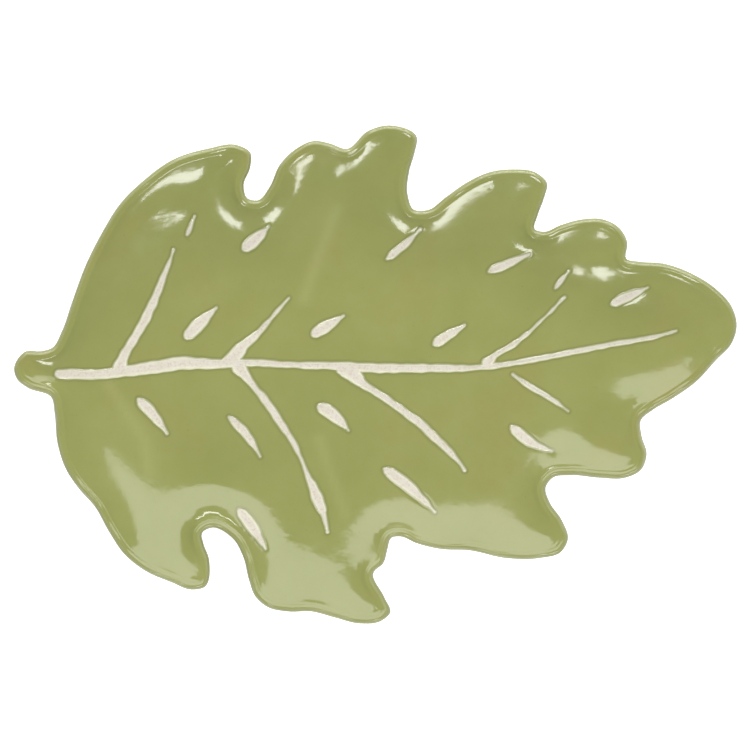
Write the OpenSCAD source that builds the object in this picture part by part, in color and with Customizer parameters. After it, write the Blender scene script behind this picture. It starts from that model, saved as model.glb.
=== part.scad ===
// A stoneware plate in the shape of a lobed leaf.
// The stem points along -X and the tip along +X. The plate stands on its foot at z = 0, and the origin
// is under the middle of its outline.

/* [Plate] */
// Length of the leaf from the end of the stem to the tip
plate_l = 280; // [240:1:320]
// Width of the leaf across its widest lobes
plate_w = 193; // [170:1:220]
// Thickness of the clay
clay_t = 4.6; // [3.6:0.1:5.4]
// Height of the lip above the floor, at the ends of the tallest lobes
rim_rise = 13; // [9:0.5:18]
// How much of the rise is left for the outer part of the wall: 1 is a straight slope up to the lip
wall_power = 2; // [1.6:0.1:2.6]

/* [Foot] */
// Height of the foot ring
foot_h = 4; // [3:0.5:7]
// Radius of the foot ring round its broad end, near the stem
foot_broad_r = 31; // [26:1:33]
// Radius of the foot ring round its narrow end, near the tip
foot_narrow_r = 23; // [18:1:25]
// Distance between the centres of the two round ends
foot_span = 92; // [70:1:110]
// Width of the foot ring where it joins the clay
foot_top_w = 6; // [5:0.5:8]
// Width of the face that the plate stands on
foot_face_w = 3.2; // [2:0.2:4.4]

/* [Glaze and lines] */
// Thickness of the glaze
glaze_t = 0.5; // [0.3:0.05:0.8]
// Thickness of the pale slip lines in the glaze
slip_t = 0.25; // [0.1:0.05:0.25]
// Width of the midrib line at its widest
line_w = 5.1; // [4:0.1:6]
// Width of the widest short mark
mark_w = 4.7; // [3.6:0.1:5.6]

/* [Hidden] */

// Points of the outline, as shares of plate_l and plate_w from the middle of the leaf. They start at the
// end of the stem, run along the lower side to the tip and come back along the upper side.
outline_shares = [
    // stem and first lower lobe
    [-0.500, 0.009], [-0.495, -0.011], [-0.481, -0.027], [-0.448, -0.047],
    [-0.444, -0.077], [-0.440, -0.138], [-0.428, -0.191], [-0.411, -0.228], [-0.388, -0.266],
    [-0.368, -0.317], [-0.347, -0.361], [-0.317, -0.395], [-0.282, -0.417], [-0.254, -0.432],
    [-0.237, -0.428], [-0.230, -0.371], [-0.238, -0.339], [-0.240, -0.319],
    // second lower lobe
    [-0.229, -0.309], [-0.197, -0.331], [-0.183, -0.367], [-0.175, -0.413],
    [-0.166, -0.446], [-0.149, -0.467], [-0.121, -0.476], [-0.088, -0.476], [-0.056, -0.488],
    [-0.021, -0.500], [0.008, -0.495], [0.021, -0.478], [0.013, -0.448],
    [-0.002, -0.397], [0.011, -0.380], [0.017, -0.351], [0.022, -0.329],
    // third lower lobe
    [0.034, -0.326], [0.056, -0.339], [0.090, -0.351], [0.131, -0.354], [0.180, -0.369],
    [0.228, -0.369], [0.257, -0.357], [0.267, -0.331], [0.259, -0.294], [0.241, -0.255],
    [0.236, -0.228],
    // fourth lower lobe
    [0.246, -0.208], [0.270, -0.203], [0.311, -0.208], [0.346, -0.208], [0.368, -0.192],
    [0.376, -0.160], [0.369, -0.124], [0.368, -0.092],
    // lobe at the tip
    [0.383, -0.073], [0.411, -0.049], [0.444, -0.015], [0.472, 0.029], [0.493, 0.062],
    [0.500, 0.097], [0.493, 0.136], [0.471, 0.172], [0.440, 0.201], [0.398, 0.223],
    [0.364, 0.227], [0.348, 0.232],
    // fourth upper lobe
    [0.349, 0.265], [0.338, 0.294], [0.314, 0.312], [0.288, 0.312], [0.256, 0.300],
    [0.233, 0.287], [0.221, 0.292],
    // third upper lobe
    [0.225, 0.319], [0.234, 0.355], [0.238, 0.384], [0.224, 0.404], [0.189, 0.412],
    [0.157, 0.406], [0.128, 0.387], [0.097, 0.356], [0.073, 0.331], [0.053, 0.332],
    // second upper lobe
    [0.045, 0.361], [0.047, 0.407], [0.055, 0.447], [0.058, 0.475],
    [0.018, 0.500], [-0.010, 0.489], [-0.041, 0.453], [-0.061, 0.463],
    [-0.085, 0.469], [-0.111, 0.452], [-0.133, 0.420], [-0.147, 0.376], [-0.163, 0.350],
    // first upper lobe
    [-0.177, 0.354], [-0.182, 0.381], [-0.173, 0.415], [-0.173, 0.446], [-0.190, 0.460],
    [-0.232, 0.453], [-0.280, 0.431], [-0.320, 0.390], [-0.354, 0.341], [-0.377, 0.288],
    [-0.399, 0.226], [-0.421, 0.141], [-0.434, 0.087], [-0.448, 0.053], [-0.463, 0.047],
    [-0.483, 0.047],
];

// The line along which the two sides of the leaf meet, as shares of plate_l and plate_w
spine_shares = [[-0.440, 0.008], [0.150, 0.015], [0.430, 0.075]];

// The drawn lines, each a row of places and widths: shares of plate_l, plate_w and line_w
midrib_shares = [
    [-0.438, 0.001, 0.70], [-0.423, 0.001, 0.83], [-0.392, 0.000, 0.74],
    [-0.351, 0.006, 0.82], [-0.298, 0.017, 1.00], [-0.271, 0.023, 0.98],
    [-0.243, 0.023, 0.88], [-0.218, 0.022, 0.71], [-0.174, 0.024, 0.55], [-0.125, 0.020, 0.45],
    [-0.077, 0.018, 0.55], [-0.035, 0.016, 0.68], [0.007, 0.013, 0.72],
    [0.090, 0.013, 0.61], [0.131, 0.013, 0.46], [0.173, 0.019, 0.41],
    [0.242, 0.036, 0.41], [0.311, 0.056, 0.38], [0.346, 0.065, 0.39],
    [0.378, 0.073, 0.32], [0.401, 0.081, 0.17], [0.417, 0.088, 0.06],
];
upper_vein_shares = [
    [
        [-0.355, 0.013, 1.14], [-0.350, 0.035, 0.76], [-0.343, 0.053, 0.67], [-0.332, 0.079, 0.67],
        [-0.320, 0.109, 0.73], [-0.312, 0.134, 0.71], [-0.305, 0.156, 0.62], [-0.298, 0.182, 0.52],
        [-0.290, 0.212, 0.38], [-0.284, 0.234, 0.24], [-0.280, 0.251, 0.06],
    ],
    [
        [-0.211, 0.026, 0.50], [-0.200, 0.031, 1.05], [-0.191, 0.044, 1.10], [-0.182, 0.059, 0.76],
        [-0.169, 0.075, 0.59], [-0.157, 0.093, 0.45], [-0.143, 0.116, 0.33], [-0.131, 0.136, 0.23],
        [-0.120, 0.154, 0.08],
    ],
    [
        [0.155, 0.023, 0.80], [0.160, 0.029, 0.67], [0.167, 0.039, 0.45], [0.177, 0.048, 0.36],
        [0.191, 0.060, 0.39], [0.203, 0.073, 0.38], [0.214, 0.086, 0.30], [0.228, 0.105, 0.24],
        [0.243, 0.125, 0.20], [0.255, 0.144, 0.18], [0.263, 0.155, 0.08],
    ],
];
lower_vein_shares = [
    [
        [-0.189, 0.014, 1.15], [-0.180, -0.002, 0.70], [-0.172, -0.016, 0.53], [-0.164, -0.032, 0.50],
        [-0.154, -0.049, 0.64], [-0.135, -0.090, 0.62],
        [-0.116, -0.132, 0.45], [-0.102, -0.174, 0.30], [-0.097, -0.192, 0.32],
        [-0.092, -0.210, 0.47], [-0.086, -0.229, 0.73], [-0.080, -0.251, 0.91], [-0.075, -0.269, 0.79],
        [-0.071, -0.285, 0.44], [-0.066, -0.317, 0.08],
    ],
    [
        [-0.049, 0.010, 0.60], [-0.036, 0.006, 1.20], [-0.027, -0.005, 1.09], [-0.017, -0.018, 0.64],
        [-0.005, -0.030, 0.55], [0.012, -0.046, 0.55], [0.029, -0.063, 0.55], [0.045, -0.080, 0.59],
        [0.062, -0.098, 0.62],
        [0.077, -0.119, 0.67], [0.091, -0.138, 0.59], [0.103, -0.155, 0.48], [0.112, -0.169, 0.33],
        [0.119, -0.181, 0.23], [0.124, -0.193, 0.08],
    ],
    [
        [0.191, 0.000, 0.18], [0.196, -0.006, 0.30], [0.206, -0.015, 0.38], [0.218, -0.026, 0.41],
        [0.231, -0.037, 0.39], [0.242, -0.047, 0.35], [0.252, -0.056, 0.27], [0.260, -0.065, 0.17],
        [0.268, -0.074, 0.06],
    ],
];

// The short marks: inner end and tip as shares of plate_l and plate_w, then the width and how far the
// mark bows to its left as shares of mark_w
upper_mark_shares = [
    [[-0.263, 0.076], [-0.221, 0.134], 1.00, 0.00],
    [[-0.183, 0.253], [-0.148, 0.297], 0.94, -0.06],
    [[-0.087, 0.080], [-0.044, 0.118], 0.85, 0.00],
    [[0.016, 0.233], [0.063, 0.293], 0.54, -0.09],
    [[0.081, 0.061], [0.124, 0.099], 0.73, 0.00],
    [[0.158, 0.207], [0.214, 0.242], 0.64, 0.00],
    [[0.328, 0.142], [0.377, 0.174], 0.72, 0.00],
    [[-0.261, 0.282], [-0.250, 0.319], 0.30, 0.00],
    [[0.250, 0.174], [0.268, 0.207], 0.35, 0.00],
];
lower_mark_shares = [
    [[-0.330, -0.049], [-0.289, -0.119], 0.82, 0.12],
    [[-0.203, -0.086], [-0.160, -0.166], 0.64, 0.25],
    [[-0.079, -0.063], [-0.037, -0.113], 0.95, 0.20],
    [[-0.189, -0.272], [-0.152, -0.351], 0.92, 0.10],
    [[0.012, -0.190], [0.083, -0.277], 0.90, 0.20],
    [[0.189, -0.104], [0.245, -0.153], 0.80, -0.30],
];

// How the outline is drawn: the bend that one step may take, in degrees, and the most steps in a span
step_bend = 29;
max_steps = 3;
// How many places the spine has, and how far the rows from the lip to the spine lean towards the tip
spine_places = 44;
row_lean = 0.36;
// How much nearer the spine a point is that a row looks past
row_gap = clay_t / 4;
// The rows from the lip inwards, as shares of the way to the flat middle, and how many tries find it
row_shares = [0.14, 0.36, 0.64, 1];
row_tries = 9;
// Where a row ends that finds it only near the spine or not at all, as shares of the way to the spine
row_end_shares = [0.85, 0.6];
// The rows that the underside has, counted from the lip
under_rows = [0, 2, 3];
// How the lip falls from the ends of the lobes to the notches
lip_fall = 1.5;
// Middle of the foot ring, as shares of plate_l and plate_w, and the number of sections in each round end
foot_x_share = -0.035;
foot_y_share = 0.012;
foot_sections = 24;
// Number of steps in a mark, and the angles at its round inner end and in all
mark_steps = 8;
mark_start_angle = 46;
mark_sweep_angle = 134;
// The thinnest that a drawn line gets
hair_share = 0.05;
// A cut runs past the layers that it cuts
overrun = 1;

clay_color = "#ddd5c0";
slip_color = "#e0dbc8";
glaze_color = "#9d9f60";

lip_r = clay_t / 2;
lip_inset = lip_r + glaze_t;
floor_z = foot_h + clay_t + glaze_t;
layers_z = floor_z + rim_rise + overrun;

function place(share) = [share[0] * plate_l, share[1] * plate_w];
function unit(v) = v / norm(v);
function total(list) = list * [for (value = list) 1];
function bend(a, b) = acos(max(-1, min(1, unit(a) * unit(b))));
function ease(t) = let (c = max(0, min(1, t))) c * c * (3 - 2 * c);

// The outline is a smooth curve through its points. The direction at a point weighs the chords on both
// sides, the shorter one more.
knots = [for (share = outline_shares) place(share)];
knot_count = len(knots);
chords = [for (i = [0 : knot_count - 1]) knots[(i + 1) % knot_count] - knots[i]];
headings = [
    for (i = [0 : knot_count - 1])
        let (
            before = chords[(i + knot_count - 1) % knot_count],
            after = chords[i]
        )
        (unit(before) * norm(after) + unit(after) * norm(before)) / (norm(before) + norm(after))
];
function curve_point(i, t) =
    let (
        j = (i + 1) % knot_count,
        reach = norm(chords[i]),
        near = 2 * pow(t, 3) - 3 * pow(t, 2) + 1,
        leave = pow(t, 3) - 2 * pow(t, 2) + t,
        arrive = pow(t, 3) - pow(t, 2)
    )
    near * knots[i] + (1 - near) * knots[j] + reach * (leave * headings[i] + arrive * headings[j]);
outline = [
    for (i = [0 : knot_count - 1])
        let (
            turn = bend(headings[i], headings[(i + 1) % knot_count]),
            steps = max(1, min(max_steps, round(turn / step_bend)))
        )
        for (k = [0 : steps - 1]) curve_point(i, k / steps)
];
count = len(outline);
function after(i) = (i + 1) % count;
function before(i) = (i + count - 1) % count;

// Each outline point looks inwards along inward[i]. The crest of the lip stands over crest[i].
inward = [
    for (i = [0 : count - 1])
        let (along = unit(unit(outline[i] - outline[before(i)]) + unit(outline[after(i)] - outline[i])))
        [-along[1], along[0]]
];
crest = [for (i = [0 : count - 1]) outline[i] + lip_inset * inward[i]];

// Places along the spine, numbered from the stem. Each outline point has a row that runs to one of them.
spine = [for (share = spine_shares) place(share)];
spine_start = spine[0][0];
spine_step = (spine[len(spine) - 1][0] - spine_start) / (spine_places - 1);
spine_line = [
    for (k = [0 : spine_places - 1])
        let (x = spine_start + k * spine_step)
        [x, lookup(x, spine)]
];
tip_index = search(max([for (p = outline) p[0]]), [for (p = outline) p[0]])[0];

// The place where the straight line from a through b meets the spine
function height_over_spine(p) = abs(p[1] - lookup(p[0], spine));
function place_number(x) = max(0, min(spine_places - 1, (x - spine_start) / spine_step));
function meeting_place(a, b) =
    let (h = height_over_spine(a))
    place_number(a[0] + (b[0] - a[0]) * h / (h - height_over_spine(b)));
function running_max(list, i = 0, so_far = 0) =
    i == len(list) ? [] : let (m = max(so_far, list[i])) concat([m], running_max(list, i + 1, m));
function running_min(list, i = 0, so_far = spine_places - 1) =
    i == len(list) ? [] : let (m = min(so_far, list[i])) concat([m], running_min(list, i + 1, m));
function reversed(list) = [for (i = [len(list) - 1 : -1 : 0]) list[i]];

// For the points of one side, from stem to tip, the place that each row runs to. A row leans towards the
// tip, but never so far either way that it would leave the leaf or cross its neighbour.
function side_places(points) =
    let (
        last = len(points) - 1,
        heights = [for (p = points) height_over_spine(p)],
        wish = running_max([for (i = [0 : last]) place_number(points[i][0] - row_lean * heights[i])]),
        least = running_max([
            for (i = [0 : last])
                max([
                    0,
                    for (j = [0 : i - 1])
                        if (heights[j] < heights[i] - row_gap)
                            meeting_place(points[i], points[j])
                ])
        ]),
        most = reversed(running_min([
            for (i = [last : -1 : 0])
                min([
                    spine_places - 1,
                    for (j = [i + 1 : last])
                        if (heights[j] < heights[i] - row_gap)
                            meeting_place(points[i], points[j])
                ])
        ]))
    )
    [for (i = [0 : last]) max(ceil(least[i]), min(floor(most[i]), round(wish[i])))];
lower_places = side_places([for (i = [0 : tip_index]) crest[i]]);
upper_places = side_places([for (i = [count - 1 : -1 : tip_index + 1]) crest[i]]);
row_place = concat(lower_places, reversed(upper_places));
// Where a point lies behind its neighbour's row, the cell between the two rows is split the other way
function cross_size(a, b) = a[0] * b[1] - a[1] * b[0];
split_other = [
    for (i = [0 : count - 1])
        let (way = spine_line[row_place[i]] - crest[i])
        cross_size(way, crest[after(i)] - crest[i]) > 0
];

// Distance to the outline, rounded off where two sides are equally near. Each side of the outline pulls
// with the inverse cube of its distance, and a straight edge alone gives its true distance.
sides = [
    for (i = [0 : count - 1])
        let (side = outline[after(i)] - outline[i])
        [outline[i], unit(side), norm(side)]
];
function side_pull(side, p) =
    let (
        w = p - side[0],
        along = w * side[1],
        ahead = side[2] - along,
        off = max(w * w - along * along, 0.0001)
    )
    (ahead / sqrt(off + ahead * ahead) + along / sqrt(off + along * along)) / off;
function edge_distance(p) = sqrt(2 / total([for (side = sides) side_pull(side, p)]));

// How far a point is past the flat middle of the plate, which reaches a little beyond the foot
foot_x = foot_x_share * plate_l;
foot_y = foot_y_share * plate_w;
foot_lean = (foot_broad_r - foot_narrow_r) / foot_span;
foot_slant = sqrt(1 - foot_lean * foot_lean);
function past_middle(p) =
    let (
        q = [abs(p[1] - foot_y), p[0] - foot_x + foot_span / 2],
        along = q * [-foot_lean, foot_slant],
        past_foot =
            along < 0 ? norm(q) - foot_broad_r
            : along > foot_slant * foot_span ? norm(q - [0, foot_span]) - foot_narrow_r
            : q * [foot_slant, foot_lean] - foot_broad_r
    )
    max(0, past_foot - foot_top_w);

// Height of the glazed top over a point: flat over the foot, then ever steeper up to the lip
function reach(p) = norm([2 * p[0] / plate_l, 2 * p[1] / plate_w]);
function lip_height(p) = rim_rise * pow(reach(p), lip_fall);
function top_height(p) =
    let (
        past = past_middle(p),
        inset = max(0, edge_distance(p) - lip_inset)
    )
    floor_z + lip_height(p) * (past == 0 ? 0 : pow(past / (past + inset), wall_power));

// Each row runs from its crest over the wall to the flat middle
function way_to_middle(start, heading, longest, gone, tries) =
    tries == 0 ? gone
    : way_to_middle(
        start, heading, longest, min(longest, gone + past_middle(start + gone * heading)), tries - 1
    );
row_ways = [
    for (i = [0 : count - 1])
        let (
            end = spine_line[row_place[i]],
            whole = norm(end - crest[i]),
            heading = (end - crest[i]) / whole,
            missed = min(1, past_middle(end) / foot_narrow_r),
            end_share = row_end_shares[0] + missed * (row_end_shares[1] - row_end_shares[0])
        )
        min(end_share * whole, way_to_middle(crest[i], heading, whole, 0, row_tries)) * heading
];
top_rows = [
    for (share = row_shares)
        [for (i = [0 : count - 1]) crest[i] + share * row_ways[i]]
];

// Heights of the rows of the top and the spine, worked out once
top_heights = [for (row = top_rows) [for (p = row) top_height(p)]];
spine_heights = [for (p = spine_line) top_height(p)];

function raised(points, heights, lift) = [
    for (i = [0 : len(points) - 1]) [points[i][0], points[i][1], heights[i] + lift]
];
function lip_row(angle, radius) = [
    for (i = [0 : count - 1])
        let (p = outline[i] + (lip_inset - radius * cos(angle)) * inward[i])
        [p[0], p[1], floor_z + lip_height(outline[i]) - lip_inset + radius * sin(angle)]
];
function top_row(k, lift) = raised(top_rows[k], top_heights[k], lift);

// A closed shell from rows of count points, with a spine of spine_places points at each end. The rows
// run outwards over the top and come back underneath.
module shell(first_spine, rows, last_spine) {
    points = concat(first_spine, [for (row = rows) each row], last_spine);
    first_row = spine_places;
    last_row = first_row + (len(rows) - 1) * count;
    far_spine = last_row + count;
    faces = concat(
        spine_faces(0, first_row, false),
        [
            for (k = [0 : len(rows) - 2])
                for (i = [0 : count - 1])
                    let (
                        a = first_row + k * count + i,
                        b = first_row + k * count + after(i),
                        c = b + count,
                        d = a + count,
                        outwards = rows[k + 1][0][0] < rows[k][0][0]
                    )
                    each (outwards == split_other[i] ? [[a, b, d], [b, c, d]] : [[a, b, c], [a, c, d]])
        ],
        spine_faces(far_spine, last_row, true)
    );
    polyhedron(points, faces, convexity = 6);
}

// Triangles between a row and the spine. Each pair of neighbours on the row reaches the spine at one
// place, or fans out over the places between.
function spine_faces(spine_from, row_from, flip) = [
    for (i = [0 : count - 1])
        let (
            a = row_place[i],
            b = row_place[after(i)],
            step = sign(b - a),
            fan = concat(
                [[row_from + i, spine_from + a, row_from + after(i)]],
                step == 0 ? [] : [
                    for (s = [a : step : b - step])
                        [row_from + after(i), spine_from + s, spine_from + s + step]
                ]
            )
        )
        for (f = fan) flip ? [f[0], f[2], f[1]] : f
];

module clay_body() {
    top_lift = -glaze_t;
    under_lift = -glaze_t - clay_t;
    color(clay_color)
        shell(
            raised(spine_line, spine_heights, top_lift),
            concat(
                [for (k = [len(top_rows) - 1 : -1 : 0]) top_row(k, top_lift)],
                [for (angle = [90, 30, -30, -90]) lip_row(angle, lip_r)],
                [for (k = under_rows) top_row(k, under_lift)]
            ),
            raised(spine_line, spine_heights, under_lift)
        );
}
// The foot ring follows two circles, the broad one near the stem, and the straight sides that touch both
module foot_ring() {
    touch = acos((foot_broad_r - foot_narrow_r) / foot_span);
    steps = [for (k = [0 : foot_sections - 1]) k / (foot_sections - 1)];
    chamfer = foot_top_w / 10;
    profile = [
        [-foot_top_w / 2, foot_h], [-foot_face_w / 2 - chamfer, chamfer], [-foot_face_w / 2, 0],
        [foot_face_w / 2, 0], [foot_face_w / 2 + chamfer, chamfer], [foot_top_w / 2, foot_h],
    ];
    sections = concat(
        [for (t = steps) [-foot_span / 2, foot_broad_r, touch + t * (360 - 2 * touch)]],
        [for (t = steps) [foot_span / 2, foot_narrow_r, (2 * t - 1) * touch]]
    );
    points = [
        for (s = sections)
            for (p = profile)
                [foot_x + s[0] + (s[1] + p[0]) * cos(s[2]), foot_y + (s[1] + p[0]) * sin(s[2]), p[1]]
    ];
    sides = len(profile);
    faces = [
        for (k = [0 : len(sections) - 1])
            for (m = [0 : sides - 1])
                let (
                    here = k * sides,
                    there = (k + 1) % len(sections) * sides,
                    next = (m + 1) % sides
                )
                [here + m, here + next, there + next, there + m]
    ];
    color(clay_color)
        polyhedron(points, faces);
}

module glaze_coat() {
    under_lift = -glaze_t - clay_t;
    color(glaze_color)
        difference() {
            shell(
                raised(spine_line, spine_heights, 0),
                concat(
                    [for (k = [len(top_rows) - 1 : -1 : 0]) top_row(k, 0)],
                    [for (angle = [90, 45, 0, -45, -90]) lip_row(angle, lip_inset)],
                    [top_row(under_rows[0], under_lift - glaze_t), top_row(under_rows[0], under_lift)],
                    [for (angle = [-90, -30, 30, 90]) lip_row(angle, lip_r)],
                    [for (k = [0 : len(top_rows) - 1]) top_row(k, -glaze_t)]
                ),
                raised(spine_line, spine_heights, -glaze_t)
            );
            intersection() {
                layer(-2 * glaze_t, glaze_t);
                through_layers() {
                    line_shape(midrib_shares);
                    for (shares = concat(upper_vein_shares, lower_vein_shares)) line_shape(shares);
                    for (shares = concat(upper_mark_shares, lower_mark_shares)) mark_shape(shares);
                }
            }
        }
}

// A layer of even thickness over the top of the clay, between two heights above the glazed top
module layer(low, high) {
    shell(
        raised(spine_line, spine_heights, high),
        concat(
            [for (k = [len(top_rows) - 1 : -1 : 0]) top_row(k, high)],
            [for (k = [0 : len(top_rows) - 1]) top_row(k, low)]
        ),
        raised(spine_line, spine_heights, low)
    );
}

// The thin layer of slip, from which each line is cut
module slip_layer() {
    layer(-glaze_t, slip_t - glaze_t);
}

module through_layers() {
    translate([0, 0, foot_h])
        linear_extrude(height = layers_z - foot_h)
            children();
}

// A drawn line: a square brush that moves corner first from place to place and changes its width
module brush_stroke(places, widths) {
    last = len(places) - 1;
    headings = [
        for (k = [0 : last])
            let (way = places[min(k + 1, last)] - places[max(k - 1, 0)])
            atan2(way[1], way[0])
    ];
    for (k = [0 : last - 1])
        hull()
            for (n = [k, k + 1])
                translate(places[n])
                    rotate(headings[n])
                        circle(d = widths[n], $fn = 4);
}

module line_shape(shares) {
    brush_stroke([for (s = shares) place(s)], [for (s = shares) s[2] * line_w]);
}

module mark_shape(shares) {
    from = place(shares[0]);
    to = place(shares[1]);
    heading = unit(to - from);
    bow = shares[3] * mark_w * [-heading[1], heading[0]];
    steps = [for (k = [0 : mark_steps]) k / mark_steps];
    brush_stroke(
        [for (t = steps) from + t * (to - from) + 4 * t * (1 - t) * bow],
        [for (t = steps) shares[2] * mark_w * max(hair_share, sin(mark_start_angle + mark_sweep_angle * t))]
    );
}

module midrib_line() {
    color(slip_color)
        intersection() {
            slip_layer();
            through_layers() line_shape(midrib_shares);
        }
}

// A side vein starts at the edge of the midrib
module vein_line(shares) {
    color(slip_color)
        intersection() {
            slip_layer();
            through_layers()
                difference() {
                    line_shape(shares);
                    line_shape(midrib_shares);
                }
        }
}

module mark_line(shares) {
    color(slip_color)
        intersection() {
            slip_layer();
            through_layers() mark_shape(shares);
        }
}

clay_body();
foot_ring();
glaze_coat();
midrib_line();
vein_line(upper_vein_shares[0]);  // upper_vein_1
vein_line(upper_vein_shares[1]);  // upper_vein_2
vein_line(upper_vein_shares[2]);  // upper_vein_3
vein_line(lower_vein_shares[0]);  // lower_vein_1
vein_line(lower_vein_shares[1]);  // lower_vein_2
vein_line(lower_vein_shares[2]);  // lower_vein_3
mark_line(upper_mark_shares[0]);  // upper_mark_1
mark_line(upper_mark_shares[1]);  // upper_mark_2
mark_line(upper_mark_shares[2]);  // upper_mark_3
mark_line(upper_mark_shares[3]);  // upper_mark_4
mark_line(upper_mark_shares[4]);  // upper_mark_5
mark_line(upper_mark_shares[5]);  // upper_mark_6
mark_line(upper_mark_shares[6]);  // upper_mark_7
mark_line(upper_mark_shares[7]);  // upper_mark_8
mark_line(upper_mark_shares[8]);  // upper_mark_9
mark_line(lower_mark_shares[0]);  // lower_mark_1
mark_line(lower_mark_shares[1]);  // lower_mark_2
mark_line(lower_mark_shares[2]);  // lower_mark_3
mark_line(lower_mark_shares[3]);  // lower_mark_4
mark_line(lower_mark_shares[4]);  // lower_mark_5
mark_line(lower_mark_shares[5]);  // lower_mark_6
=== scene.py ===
"""The looks of a glazed stoneware plate in the shape of a lobed leaf, in metres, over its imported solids."""

import math

import bmesh
import bpy
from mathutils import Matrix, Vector, noise


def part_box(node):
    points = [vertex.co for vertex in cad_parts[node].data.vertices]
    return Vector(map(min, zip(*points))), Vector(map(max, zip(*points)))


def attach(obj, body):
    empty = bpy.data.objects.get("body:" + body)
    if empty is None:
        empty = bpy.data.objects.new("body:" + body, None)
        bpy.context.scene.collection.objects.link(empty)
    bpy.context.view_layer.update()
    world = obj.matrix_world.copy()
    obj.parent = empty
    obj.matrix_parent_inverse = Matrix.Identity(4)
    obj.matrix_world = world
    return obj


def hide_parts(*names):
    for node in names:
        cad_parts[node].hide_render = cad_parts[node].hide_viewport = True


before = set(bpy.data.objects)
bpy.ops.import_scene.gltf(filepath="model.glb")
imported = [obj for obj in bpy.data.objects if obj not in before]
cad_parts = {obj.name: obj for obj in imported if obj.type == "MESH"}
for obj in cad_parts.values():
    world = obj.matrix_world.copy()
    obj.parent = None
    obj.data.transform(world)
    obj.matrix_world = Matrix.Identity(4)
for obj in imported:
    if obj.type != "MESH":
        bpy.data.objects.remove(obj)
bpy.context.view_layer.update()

# Pressed clay. A slab of buff stoneware, about 4.6 mm thick, is pressed over a leaf shaped mould and cut
# along the lobes of an oak leaf. It is fired bare underneath, where it is dry, finely gritty and faintly
# mottled by the sponge.
MM = 0.001
coat_low, coat_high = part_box("glaze_coat")
LEAF_LENGTH = coat_high.x - coat_low.x
LEAF_WIDTH = coat_high.y - coat_low.y
# Shares of the length and the width, along the lower side from the stem to the tip and back along the
# upper side
LEAF_OUTLINE = [
    # stem and first lower lobe
    [-0.500, 0.009], [-0.495, -0.011], [-0.481, -0.027], [-0.448, -0.047],
    [-0.444, -0.077], [-0.440, -0.138], [-0.428, -0.191], [-0.411, -0.228], [-0.388, -0.266],
    [-0.368, -0.317], [-0.347, -0.361], [-0.317, -0.395], [-0.282, -0.417], [-0.254, -0.432],
    [-0.237, -0.428], [-0.230, -0.371], [-0.238, -0.339], [-0.240, -0.319],
    # second lower lobe
    [-0.229, -0.309], [-0.197, -0.331], [-0.183, -0.367], [-0.175, -0.413],
    [-0.166, -0.446], [-0.149, -0.467], [-0.121, -0.476], [-0.088, -0.476], [-0.056, -0.488],
    [-0.021, -0.500], [0.008, -0.495], [0.021, -0.478], [0.013, -0.448],
    [-0.002, -0.397], [0.011, -0.380], [0.017, -0.351], [0.022, -0.329],
    # third lower lobe
    [0.034, -0.326], [0.056, -0.339], [0.090, -0.351], [0.131, -0.354], [0.180, -0.369],
    [0.228, -0.369], [0.257, -0.357], [0.267, -0.331], [0.259, -0.294], [0.241, -0.255],
    [0.236, -0.228],
    # fourth lower lobe
    [0.246, -0.208], [0.270, -0.203], [0.311, -0.208], [0.346, -0.208], [0.368, -0.192],
    [0.376, -0.160], [0.369, -0.124], [0.368, -0.092],
    # lobe at the tip
    [0.383, -0.073], [0.411, -0.049], [0.444, -0.015], [0.472, 0.029], [0.493, 0.062],
    [0.500, 0.097], [0.493, 0.136], [0.471, 0.172], [0.440, 0.201], [0.398, 0.223],
    [0.364, 0.227], [0.348, 0.232],
    # fourth upper lobe
    [0.349, 0.265], [0.338, 0.294], [0.314, 0.312], [0.288, 0.312], [0.256, 0.300],
    [0.233, 0.287], [0.221, 0.292],
    # third upper lobe
    [0.225, 0.319], [0.234, 0.355], [0.238, 0.384], [0.224, 0.404], [0.189, 0.412],
    [0.157, 0.406], [0.128, 0.387], [0.097, 0.356], [0.073, 0.331], [0.053, 0.332],
    # second upper lobe
    [0.045, 0.361], [0.047, 0.407], [0.055, 0.447], [0.058, 0.475],
    [0.018, 0.500], [-0.010, 0.489], [-0.041, 0.453], [-0.061, 0.463],
    [-0.085, 0.469], [-0.111, 0.452], [-0.133, 0.420], [-0.147, 0.376], [-0.163, 0.350],
    # first upper lobe
    [-0.177, 0.354], [-0.182, 0.381], [-0.173, 0.415], [-0.173, 0.446], [-0.190, 0.460],
    [-0.232, 0.453], [-0.280, 0.431], [-0.320, 0.390], [-0.354, 0.341], [-0.377, 0.288],
    [-0.399, 0.226], [-0.421, 0.141], [-0.434, 0.087], [-0.448, 0.053], [-0.463, 0.047],
    [-0.483, 0.047],
]


def on_leaf(share):
    """A place on the leaf from its shares of the length and the width."""
    return Vector((share[0] * LEAF_LENGTH, share[1] * LEAF_WIDTH))


def curve_place(here, there, leave, arrive, t):
    """The place at a share t of a smooth curve from here to there, leaving and arriving along two ways."""
    near = 2 * t**3 - 3 * t**2 + 1
    return near * here + (1 - near) * there + (t**3 - 2 * t**2 + t) * leave + (t**3 - t**2) * arrive


def leaf_edge(spacing):
    """Places along a smooth closed curve through the outline's points, about spacing apart."""
    knots = [on_leaf(share) for share in LEAF_OUTLINE]
    count = len(knots)
    chords = [knots[(i + 1) % count] - knots[i] for i in range(count)]
    headings = []
    for i in range(count):
        before, after = chords[i - 1], chords[i]
        mixed = before.normalized() * after.length + after.normalized() * before.length
        headings.append(mixed / (before.length + after.length))
    places = []
    for i in range(count):
        here, there = knots[i], knots[(i + 1) % count]
        leave, arrive = headings[i] * chords[i].length, headings[(i + 1) % count] * chords[i].length
        steps = max(1, round(chords[i].length / spacing))
        for k in range(steps):
            places.append(curve_place(here, there, leave, arrive, k / steps))
    return places


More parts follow.
